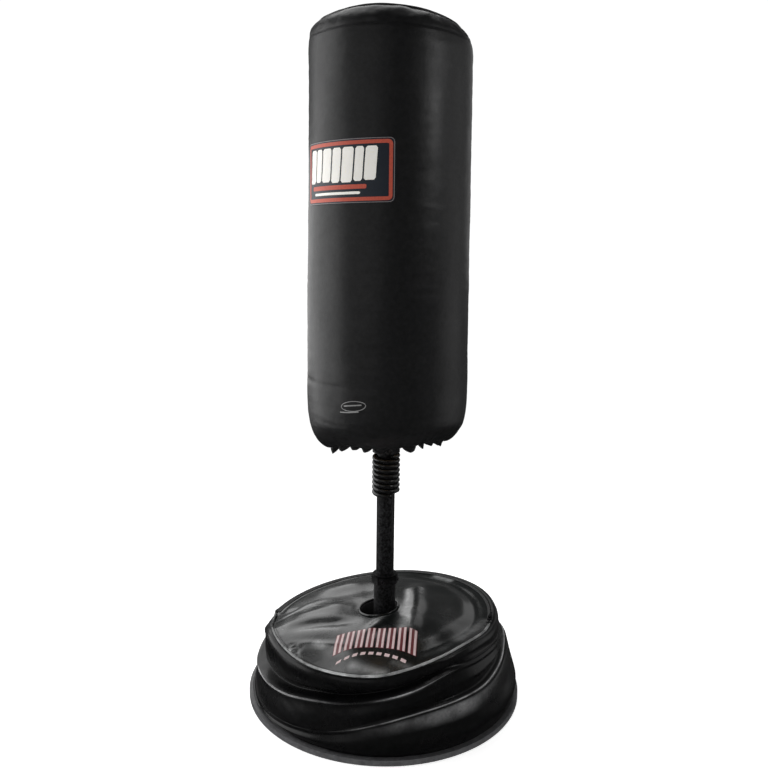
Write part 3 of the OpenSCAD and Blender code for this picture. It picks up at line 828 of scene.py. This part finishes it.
# the middle roll's edge, the shelf behind it, and how far the shelf rises
MIDDLE_Z = around_table(
    (-180, 85), (-165, 90), (-150, 95), (-135, 105), (-120, 120), (-105, 130), (-90, 145), (-75, 165),
    (-60, 190), (-45, 190), (0, 175), (45, 165), (90, 145), (135, 110),
)
SHELF_WIDTH = around_table(
    (-180, 30), (-135, 45), (-90, 28), (-60, 13), (-45, 0), (0, 0), (45, 5), (90, 18), (135, 32),
)
SHELF_RISE = around_table((-180, 7), (-150, 2), (-120, 1), (-90, 5), (0, 7), (90, 5))
# the lower roll's edge
LOWER_Z = around_table(
    (-180, 25), (-150, 30), (-120, 50), (-105, 70), (-90, 95), (-75, 115), (-60, 125), (-45, 130),
    (-30, 140), (-15, 155), (0, 160), (45, 130), (90, 100), (135, 50),
)
LOWER_R = around_table(
    (-180, 345), (-135, 345), (-90, 338), (-45, 335), (0, 321), (45, 326), (90, 335), (135, 341),
)
# the height at which the lowest roll bulges most
BULGE_Z = around_table(
    (-180, 20), (-135, 20), (-105, 30), (-90, 45), (-60, 50), (0, 55), (90, 40), (135, 25),
)
# How strongly the lower and the upper crease stand out, in thousandths.
LOWER_FOLD = around_table(
    (-180, 0), (-120, 0), (-110, 0), (-100, 200), (-90, 700), (-75, 1000), (-15, 1000), (45, 800),
    (90, 800), (135, 600),
)
MIDDLE_FOLD = around_table(
    (-180, 1000), (-120, 1000), (-105, 500), (-90, 800), (-60, 900), (-45, 0), (-30, 0), (15, 0),
    (45, 300), (90, 1000), (135, 1000),
)
# How pale the creases' edges are: rubbed pale, with a painted highlight along them; and a painted sheen on
# the shoulder of the lowest roll.
LOWER_CREASE_RUB_AND_HIGHLIGHT = around_table(
    (-180, 0), (-115, 0), (-100, 150), (-90, 400), (-75, 700), (-45, 900), (-15, 950), (15, 700),
    (60, 300), (120, 200),
)
MIDDLE_CREASE_RUB_AND_HIGHLIGHT = around_table(
    (-180, 500), (-165, 800), (-135, 800), (-120, 550), (-105, 50), (-95, 100), (-90, 400), (-75, 700),
    (-65, 300), (-55, 0), (45, 0), (90, 250), (135, 350),
)
LOW_ROLL_PAINTED_SHEEN = around_table(
    (-180, 50), (-150, 50), (-120, 0), (-100, 0), (-80, 400), (-65, 750), (-50, 600), (-40, 150),
    (-20, 50), (20, 0), (90, 50),
)


def rim_height(a, r=ZIP_R):
    """Height of the true rim plane under the zip."""
    x, y = r * np.cos(np.radians(a)), r * np.sin(np.radians(a))
    return RIM_Z + math.tan(RIM_TILT) * (x * math.cos(RIM_HIGH) + y * math.sin(RIM_HIGH))


def zip_share(a):
    """1 where the zip runs, 0 along the front, with a soft change."""
    inside = 90 - np.abs(turn_apart(a, (ZIP_START + ZIP_END) / 2))
    return ease((inside + 5) / 6)


def rim_z(a):
    """Height of the rim: its own curve along the front, the zip's plane round the back."""
    w = ease((90 - np.abs(turn_apart(a, (ZIP_START + ZIP_END) / 2)) + 22) / 22)
    return FRONT_RIM_Z(a) * (1 - w) + rim_height(a) * w


def rim_r(a):
    """Radius of the rim."""
    w = zip_share(a)
    return FRONT_RIM_R(a) * (1 - w) + ZIP_R * w


angles = np.arange(0, 360, 0.75)
az, ar, zipped = rim_z(angles), rim_r(angles), zip_share(angles)
toward_right = np.cos(np.radians(angles))
low_z, low_r, low_fold = LOWER_Z(angles), LOWER_R(angles), LOWER_FOLD(angles)
bulge_z, bulge_r = BULGE_Z(angles), 0.351 + 0.003 * toward_right
mid_z, mid_r, mid_fold = MIDDLE_Z(angles), 0.327 - 0.009 * toward_right, MIDDLE_FOLD(angles)
shelf_z, shelf_r = mid_z + SHELF_RISE(angles), mid_r - SHELF_WIDTH(angles)
shoulder_r, shoulder_z = SHOULDER_R(angles), az - SHOULDER_DROP(angles)
end_r = ar + 0.0035 + 0.003 * zipped
one = np.ones_like(angles)
keys = [  # (radius, height, share of the sideways shift)
    (0.3435 * one, 0.0152 * one, 0),
    (0.3478 * one, 0.0164 * one, 0),
    (bulge_r - 0.0012, 0.0166 + 0.45 * (bulge_z - 0.0166), 0),
    (bulge_r, bulge_z, 0),
    ((bulge_r + low_r) / 2 + 0.004, (bulge_z * 0.55 + (low_z - 0.008) * 0.45), 0),
    (low_r + 0.0015 + 0.006 * low_fold, low_z - 0.0095, 0),
    (low_r + 0.0008 + 0.0014 * low_fold, low_z - 0.0045, 0),
    (low_r + 0.0006 + 0.0006 * low_fold, low_z - 0.0018, 0),
    (low_r - 0.0005 * low_fold, low_z, 0),
    (low_r - 0.0003 - 0.003 * low_fold, low_z + 0.0015 * (1 - low_fold), 0),
    (low_r - 0.0008 - 0.0105 * low_fold, low_z + 0.004, 0.05),
    (low_r - 0.002 - 0.009 * low_fold, low_z + 0.011, 0.1),
    ((mid_r + low_r) / 2 - 0.002 * low_fold, (mid_z + low_z) / 2, 0.2),
    (mid_r - 0.0006, mid_z - 0.009, 0.33),
    (mid_r + 0.0002 * mid_fold, mid_z - 0.0022, 0.33),
    (mid_r - 0.0008 * mid_fold, mid_z - 0.0004, 0.33),
    (mid_r - 0.001 - 0.0022 * mid_fold, mid_z + 0.0014 * (1 - mid_fold), 0.33),
    (shelf_r + 0.0035 * mid_fold, shelf_z - 0.0015, 0.66),
    (shelf_r, shelf_z + 0.0035, 0.7),
    (shelf_r * 0.35 + shoulder_r * 0.65, shelf_z * 0.6 + shoulder_z * 0.4, 0.9),
    (shoulder_r, shoulder_z, 1),
    (shoulder_r - 0.0006, az - 0.012, 1),
    (shoulder_r - 0.0034, az - 0.005, 1),
    (end_r * 0.5 + shoulder_r * 0.5, az - 0.001, 1),
    (end_r, az - 0.0008, 1),
]
row_rub_and_highlight = [0 * one for _ in keys]  # how pale each of those rows is
lower_rub_and_highlight, middle_rub_and_highlight, painted_sheen = LOWER_CREASE_RUB_AND_HIGHLIGHT(angles), MIDDLE_CREASE_RUB_AND_HIGHLIGHT(angles), LOW_ROLL_PAINTED_SHEEN(angles)
# a painted sheen: a soft painted highlight on the shoulder of the lowest roll
row_rub_and_highlight[5] = 0.3 * painted_sheen
# the creases' edges are painted pale: rubbed pale, with a painted highlight along them
for k, edge_rub_and_highlight in ((8, lower_rub_and_highlight), (15, middle_rub_and_highlight)):
    row_rub_and_highlight[k - 1], row_rub_and_highlight[k], row_rub_and_highlight[k + 1] = 0.16 * edge_rub_and_highlight, edge_rub_and_highlight, 0.1 * edge_rub_and_highlight
stack = np.array([
    np.concatenate([share * PANEL_MIDDLE + polar(r, angles, z), w[:, None]], -1)
    for (r, z, share), w in zip(keys, row_rub_and_highlight)
])
wall = spline(stack, 7).transpose(1, 0, 2)  # (angle, row, 4)
wall, rub_and_highlight_share = wall[..., :3], wall[..., 3]
# slow lumps, and a few shallow creases that run round and slightly across the rolls
row = np.linspace(0, 1, wall.shape[1])[None, :]
hold = ease(row / 0.08) * ease((1 - row) / 0.1)
ang = np.degrees(np.arctan2(wall[..., 1], wall[..., 0]))
outward = polar(1.0, ang, 0 * ang)
slant = wall.copy()
slant[..., 2] += 0.06 * np.radians(ang)
push = 0.0022 * rumple(wall, (0.2, 0.2, 0.1), 51, 2)
push += 0.0008 * rumple(slant, (0.14, 0.14, 0.035), 53, 2)
wall = wall + outward * (push * hold)[..., None]
side = lattice("base_side_cover", wall, WALL_VINYL, loop_u=True, thickness=0.0018)
# the side cover's painted paleness: rubbed creases with painted highlights, and painted sheen
rub_and_highlight(side, rub_and_highlight_share * (0.8 + 0.5 * rumple(wall, 0.05, 57, 3)))
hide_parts("cover_side_wall", "sand_fill")

# top panel: a slack sheet between the rim and the hole, with drawn folds
HOLE_Z, HOLE_SLOPE = 0.219, 0.17
# Soft ridges and troughs of the panel: from (x, y), to (x, y), width and height, in mm.
PANEL_FOLDS = (
    (90, 130, 85, 0, 20, 8), (85, 0, 60, -170, 22, 8), (-250, 0, -100, 30, 32, 6),
    (-250, -80, -90, -70, 28, -7), (-160, 120, -20, 140, 45, -6), (-40, -130, 10, -60, 14, 5),
    (-300, 10, -190, 80, 10, 3), (-170, 170, -60, 200, 40, 3), (-150, -190, -60, -210, 20, 3),
    (190, -60, 170, 110, 60, -5), (-220, -160, -120, -190, 12, 3),
)
CRUMPLE = (-0.24, -0.195)  # the middle of a crumpled spot at the left of the front
# Painted highlights and sheen on the panel: from (x, y), to (x, y), width, in mm, and amount.
PANEL_PAINTED_HIGHLIGHTS = (
    (65, 100, 60, -30, 8, 0.55), (60, -30, 50, -150, 17, 0.6), (105, 110, 100, 60, 7, 0.35),
    (100, 60, 90, -60, 7, 0.1), (-30, -100, 0, -40, 12, 0.45), (180, -190, 260, -80, 16, 0.26),
    (150, 235, 195, 190, 10, 0.45), (-220, -100, -120, -115, 10, 0.2), (-250, 40, -200, 90, 30, 0.1),
    (-265, -110, -255, 10, 12, 0.14), (-80, -260, 0, -295, 13, 0.6), (-170, -170, -150, -190, 12, 0.6),
    (-300, 10, -200, 65, 5, 0.25), (20, -260, 60, -285, 9, 0.2),
)


def beside(x, y, x0, y0, x1, y1):
    """How far points lie along a stroke from its start and how far beside it, and the stroke's length."""
    ex, ey = x1 - x0, y1 - y0
    L = math.hypot(ex, ey)
    return ((x - x0) * ex + (y - y0) * ey) / L, ((x - x0) * ey - (y - y0) * ex) / L, L


def crumpled(x, y, width):
    """1 in the middle of the crumpled spot, fading away from it."""
    return np.exp(-(((x - CRUMPLE[0]) ** 2 + (y - CRUMPLE[1]) ** 2) / width**2))


def panel_height(x, y):
    """Height of the slack top panel at a point of the base."""
    dx, dy = x - PANEL_X, y
    rho = np.hypot(dx, dy)
    a = np.degrees(np.arctan2(dy, dx))
    R = rim_r(a)
    t = np.clip((rho - HOLE_R) / (R - HOLE_R), 0, 1)
    edge = 1 - t
    outer = t**1.35
    z = (HOLE_Z + HOLE_SLOPE * dx * bell(rho, 0, 0.15)) * (1 - outer) + (rim_z(a) - 0.0012) * outer
    z = z + 0.012 * np.sin(np.pi * t) * (0.6 + 0.4 * np.cos(np.radians(a + 100)))
    # along the right-hand side it dips before it comes up to the rim
    right = ease((np.cos(np.radians(a - 5)) - 0.1) / 0.5)
    z = z - 0.0075 * right * bell(rho, R - 0.042, 0.022)
    for x0, y0, x1, y1, width, height in PANEL_FOLDS:
        s, q, L = beside(x * 1000, y * 1000, x0, y0, x1, y1)
        along = ease((s + 40) / 80) * ease((L - s + 40) / 80)
        z = z + height / 1000 * bell(q, 0, width) * along * ease(t / 0.1) * ease(edge / 0.1)
    spot = crumpled(x, y, 0.03)
    lumps = rumple(np.stack(np.broadcast_arrays(x, y, 0 * x), -1), 0.02, 63, 2)
    z = z + 0.0045 * spot * lumps * ease(edge / 0.04)
    # beside the zip it lies flat in the rim's plane, so that the slider passes
    flat = zip_share(a) * ease((0.034 - (R - rho)) / 0.02)
    return z * (1 - flat) + (rim_height(a, rho) - 0.0012) * flat


def panel_point(x, y, out=0.0):
    """A point of the top panel's upper side, out metres proud."""
    z = panel_height(x, y)
    e = 0.002
    gx = (panel_height(x + e, y) - panel_height(x - e, y)) / (2 * e)
    gy = (panel_height(x, y + e) - panel_height(x, y - e)) / (2 * e)
    n = np.stack([-gx, -gy, np.ones_like(gx)], -1)
    n /= np.linalg.norm(n, axis=-1)[..., None]
    p = np.stack([x, y, z], -1)
    ripple = 0.0005 * rumple(np.stack([x, y, 0 * x], -1), (0.07, 0.07, 0.07), 61, 2)
    return p + n * (out + ripple)[..., None]


A, T = pairing(angles, np.linspace(1, 0, 64))
R = HOLE_R + (rim_r(A) + 0.001 - HOLE_R) * T
in_zip = zip_share(A)
R = np.where(T > 0.999, R - 0.0045 * in_zip, R)  # the zip's tape begins here
flat_grid = PANEL_MIDDLE + polar(R, A, 0)
grid = panel_point(flat_grid[..., 0], flat_grid[..., 1])
panel = lattice("base_top_panel", grid, BASE_VINYL, loop_u=True, thickness=SHEET)
X, Y = grid[..., 0] * 1000, grid[..., 1] * 1000
# painted highlights and sheen along the panel's strokes, with a slow mottle
pale = 0 * X
for x0, y0, x1, y1, width, amount in PANEL_PAINTED_HIGHLIGHTS:
    s, q, L = beside(X, Y, x0, y0, x1, y1)
    along = ease((s + 1.3 * width) / (2 * width)) * ease((L - s + 1.3 * width) / (2 * width))
    pale += amount * bell(q, 0, width) * along
slow = np.stack([X / 1000, Y / 1000, 0 * X], -1)
pale *= 0.85 + 0.5 * rumple(slow, 0.05, 65, 3)
# white flecks of painted highlight on the crumpled spot
spot = crumpled(X / 1000, Y / 1000, 0.024)
pale += 1.3 * spot * ease((rumple(slow, 0.016, 67, 2) + 0.05) / 0.25)
rub_and_highlight(panel, pale)
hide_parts("cover_top_panel")

# piping along the front of the rim, and its stitching; the table says how strongly a painted highlight
# lightens the piping
RIM_PAINTED_HIGHLIGHT = around_table(
    (-180, 150), (-150, 200), (-130, 500), (-115, 900), (-90, 1000), (-75, 800), (-45, 600), (-15, 550),
    (60, 0),
)
front = np.arange(ZIP_END + 1, ZIP_START + 360 - 1, 0.8)
r, z = rim_r(front) + 0.003, rim_z(front) + 0.001
jig = rumple(polar(r, front, 0), 0.03, 71)
path = PANEL_MIDDLE + polar(r + 0.001 * jig, front, z + 0.0012 * jig)
taper = 0.0034 * np.minimum(1, np.minimum(front - front[0], front[-1] - front) / 2.0 + 0.35)
piping = tube("rim_piping", path, taper, BASE_VINYL)
# the piping's painted highlight, mottled along its length
rim_highlight = RIM_PAINTED_HIGHLIGHT(front) * (0.8 + 0.6 * rumple(path, 0.03, 73, 2))
rub_and_highlight(piping, np.repeat(rim_highlight, TUBE_SIDES))
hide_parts("cover_rim_welt")
inside = path + polar(-0.009, front, 0)
inside[:, 2] = panel_height(inside[:, 0], inside[:, 1]) + 0.0008
rim_thread = stitches("rim_stitches", inside, np.tile([0, 0, 1.0], (len(inside), 1)), THREAD)

# zip: two woven tapes and its teeth, on the rim's true circle so that the slider runs along it
za = np.arange(ZIP_START, ZIP_END + 0.01, 0.75)
tapes = []
for name, r0, r1, drop in (
    ("zip_tape_inner", 0.2925, 0.2999, 0.0008), ("zip_tape_outer", 0.3021, 0.3085, 0.0014),
):
    rr = np.linspace(r0, r1, 5)
    g = np.array([[tuple(on_rim(a, q, 0.0008 - drop * abs(q - ZIP_R) / 0.008)) for q in rr] for a in za])
    tapes.append(lattice(name, g[:, ::-1], TAPE, thickness=0.0006))
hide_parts("zip_tapes")
verts, faces = [], []
for k, a in enumerate(np.arange(ZIP_START + 1, ZIP_END - 1, TOOTH_PITCH)):
    side_r = 0.0004 if k % 2 else -0.0004
    lo = len(verts)
    for da in (-TOOTH_PITCH / 4, TOOTH_PITCH / 4):
        for dr, dz in ((-0.0014, 0.0004), (-0.0012, 0.0014), (0.0012, 0.0014), (0.0014, 0.0004)):
            verts.append(on_rim(a + da, ZIP_R + side_r + dr * 0.8, dz))
    for j in range(3):
        faces.append((lo + j, lo + j + 1, lo + j + 5, lo + j + 4))
    faces += [(lo, lo + 4, lo + 7, lo + 3), (lo, lo + 3, lo + 2, lo + 1), (lo + 4, lo + 5, lo + 6, lo + 7)]
teeth = add("zip_teeth_row", verts, faces, TEETH, smooth=False)
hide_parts("zip_teeth")

# piping round the hole and the sleeve that hangs from it
ha = np.arange(0, 360, 4.0)
path = PANEL_MIDDLE + polar(HOLE_R, ha, 0)
hz = panel_point(path[:, 0], path[:, 1])[:, 2]
path[:, 2] = hz + 0.0022
hole_piping = tube("hole_piping", path, 0.0027, BASE_VINYL, closed=True)
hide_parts("cover_hole_welt")
depth = np.linspace(0, 1, 22)
U, V = pairing(ha, depth)
P0 = polar(0.05, U, -V * 0.12)
rr = 0.051 + (0.0014 * rumple(P0, (0.02, 0.02, 0.06), 81, 2) - 0.0012 * V) * ease(V / 0.1)
zz = (hz[:, None] - 0.0008) * (1 - V) + 0.094 * V
g = PANEL_MIDDLE + polar(rr, U, zz)
sleeve = lattice("hole_sleeve", g, LINING, loop_u=True, thickness=-0.0012)
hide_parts("cover_hole_sleeve")

# printed decoration on the top panel: a row of slanted pairs of bars on an arc, and dashes below it
panel_prints = []


def panel_patch(name, corners, mat, out, nu=12, nv=12):
    """A four-cornered print on the top panel; corners are (x, y) in metres, anticlockwise from low left."""
    c = np.array(corners, float)
    s, t = pairing(np.linspace(0, 1, nu), np.linspace(0, 1, nv))
    s, t = s[..., None], t[..., None]
    q = (c[0] * (1 - s) + c[1] * s) * (1 - t) + (c[3] * (1 - s) + c[2] * s) * t
    o = lattice(name, panel_point(q[..., 0], q[..., 1], out), mat)
    panel_prints.append(o)
    return o


# The print's three curves: the x of the highest point, its y, and the bend, in mm.
PRINT_FOOT, PRINT_HEAD, PRINT_LINE = (-45, -205, 0.003), (-30, -128, 0.0028), (-45, -230, 0.0045)


def along_curve(x, curve, out=0.0):
    """A point in metres on a curve of the print at x mm, out mm further from the base's middle."""
    middle, top, bend = curve
    return (x / 1000, (top - bend * (x - middle) ** 2 - out) / 1000)


def print_bar(name, x, wide, grow, mat, out):
    """A slanted bar from the print's foot curve to its head curve."""
    corners = [along_curve(x, PRINT_FOOT, grow), along_curve(x + wide, PRINT_FOOT, grow),
               along_curve(x + wide + 7, PRINT_HEAD, -grow), along_curve(x + 7, PRINT_HEAD, -grow)]
    panel_patch(name, corners, mat, out, 8, 20)


for k in range(8):
    x = -125 + 26 * k
    print_bar(f"base_print_{k + 1}_shade", x - 1.5, 21, 1.5, BASE_PRINT_EDGE, 0.0002)
    print_bar(f"base_print_{k + 1}_left", x, 5.6, 0, BASE_PRINT, 0.0004)
    print_bar(f"base_print_{k + 1}_right", x + 12.4, 5.6, 0, BASE_PRINT, 0.0004)
for k in range(9):
    x = -118 + 19.5 * k
    a, b = along_curve(x, PRINT_LINE), along_curve(x + 12, PRINT_LINE)
    corners = [a, b, (b[0] + 0.003, b[1] + 0.009), (a[0] + 0.003, a[1] + 0.009)]
    panel_patch(f"base_print_dash_{k + 1}", corners, BASE_PRINT, 0.0004, 6, 5)

for o in [side, panel, piping, rim_thread, *tapes, teeth, hole_piping, sleeve, *panel_prints]:
    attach(o, "base")

# ---- floor and light

FLOOR = Mat("pale_floor", (0.9, 0.9, 0.9), 0.7, Emission_Color=(1, 1, 1, 1), Emission_Strength=0.75)
FLOOR.bump(FLOOR.noise(0.02, 3.0), 0.0001)
apart = FLOOR.new("ShaderNodeVectorMath", operation="LENGTH")
FLOOR.join(FLOOR.coords, apart.inputs[0])
clear = FLOOR.new("ShaderNodeBsdfTransparent")
blend = FLOOR.new("ShaderNodeMixShader")
under = FLOOR.new("ShaderNodeNewGeometry").outputs["Backfacing"]  # from below it can be seen through
fade = FLOOR.maths("MAXIMUM", FLOOR.remap(apart.outputs["Value"], 1.2, 2.6, 0.0, 1.0), under)
FLOOR.join(fade, blend.inputs["Fac"])
FLOOR.join(FLOOR.b.outputs[0], blend.inputs[1])
FLOOR.join(clear.outputs[0], blend.inputs[2])
FLOOR.join(blend.outputs[0], FLOOR.t.nodes["Material Output"].inputs["Surface"])
FLOOR.m.cycles.emission_sampling = "NONE"
ring = polar(3, np.arange(0, 360, 5), -0.0004)
floor = add("floor", ring, [tuple(range(len(ring)))], FLOOR.m)
floor.visible_glossy = False
floor.visible_shadow = False
floor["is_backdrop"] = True

# the background is white to look at, but lights the part only faintly, and more from above than below
world = bpy.data.worlds.new("studio")
scene.world = world
world.use_nodes = True
tree = world.node_tree
tree.nodes.clear()
new, join = tree.nodes.new, tree.links.new
out, mix = new("ShaderNodeOutputWorld"), new("ShaderNodeMixShader")
rays, sky = new("ShaderNodeLightPath"), new("ShaderNodeTexCoord")
seen, lit = new("ShaderNodeBackground"), new("ShaderNodeBackground")
seen.inputs["Color"].default_value = (1, 1, 1, 1)
seen.inputs["Strength"].default_value = 1.05
split, upward = new("ShaderNodeSeparateXYZ"), new("ShaderNodeMapRange")
upward.inputs["From Min"].default_value = -1
level = new("ShaderNodeValToRGB")
for k, (place, bright) in enumerate(((0.26, 0.012), (0.37, 0.08), (0.46, 0.11), (0.75, 0.05))):
    e = level.color_ramp.elements[k] if k < 2 else level.color_ramp.elements.new(place)
    e.position, e.color = place, (bright, bright, bright, 1)
join(sky.outputs["Generated"], split.inputs[0])
join(split.outputs["Z"], upward.inputs["Value"])
join(upward.outputs["Result"], level.inputs["Fac"])
join(level.outputs["Color"], lit.inputs["Color"])
join(rays.outputs["Is Camera Ray"], mix.inputs["Fac"])
join(lit.outputs[0], mix.inputs[1])
join(seen.outputs[0], mix.inputs[2])
join(mix.outputs[0], out.inputs["Surface"])


def softbox(name, turn, far, height, wide, tall, strength, aim=0.9):
    """A soft light of even brightness, turn degrees round from straight ahead (positive to the right)."""
    a = math.radians(turn - 90)
    place = Vector((far * math.cos(a), far * math.sin(a), height))
    data = bpy.data.lights.new(name, "AREA")
    data.shape = "RECTANGLE"
    data.size, data.size_y, data.energy = wide, tall, strength * math.pi * wide * tall
    o = bpy.data.objects.new(name, data)
    scene.collection.objects.link(o)
    o.location = place
    o.rotation_mode = "QUATERNION"
    o.rotation_quaternion = (Vector((0, 0, aim)) - place).to_track_quat("-Z", "Y")
    o.visible_camera = False
    return o


softbox("left_box", -98, 2.3, 1.35, 2.8, 3.0, 2.1, aim=1.35)
softbox("back_left_box", -150, 1.7, 1.02, 1.5, 1.05, 1.45, aim=0.35)
softbox("right_box", 98, 2.4, 1.15, 1.7, 3.2, 0.55, aim=1.15)
softbox("back_right_box", 150, 2.8, 1.7, 1.5, 1.6, 0.5)
softbox("strip_box", 60, 2.0, 1.87, 0.45, 0.5, 9.0, aim=1.5)
softbox("over_box", -160, 0.9, 3.4, 2.4, 2.0, 2.8, aim=0.2)
softbox("front_box", -30, 3.2, 1.6, 2.4, 2.6, 0.5)

scene.view_settings.view_transform = "Standard"
scene.view_settings.look = "None"

# ---- sizes

lo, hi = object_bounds()
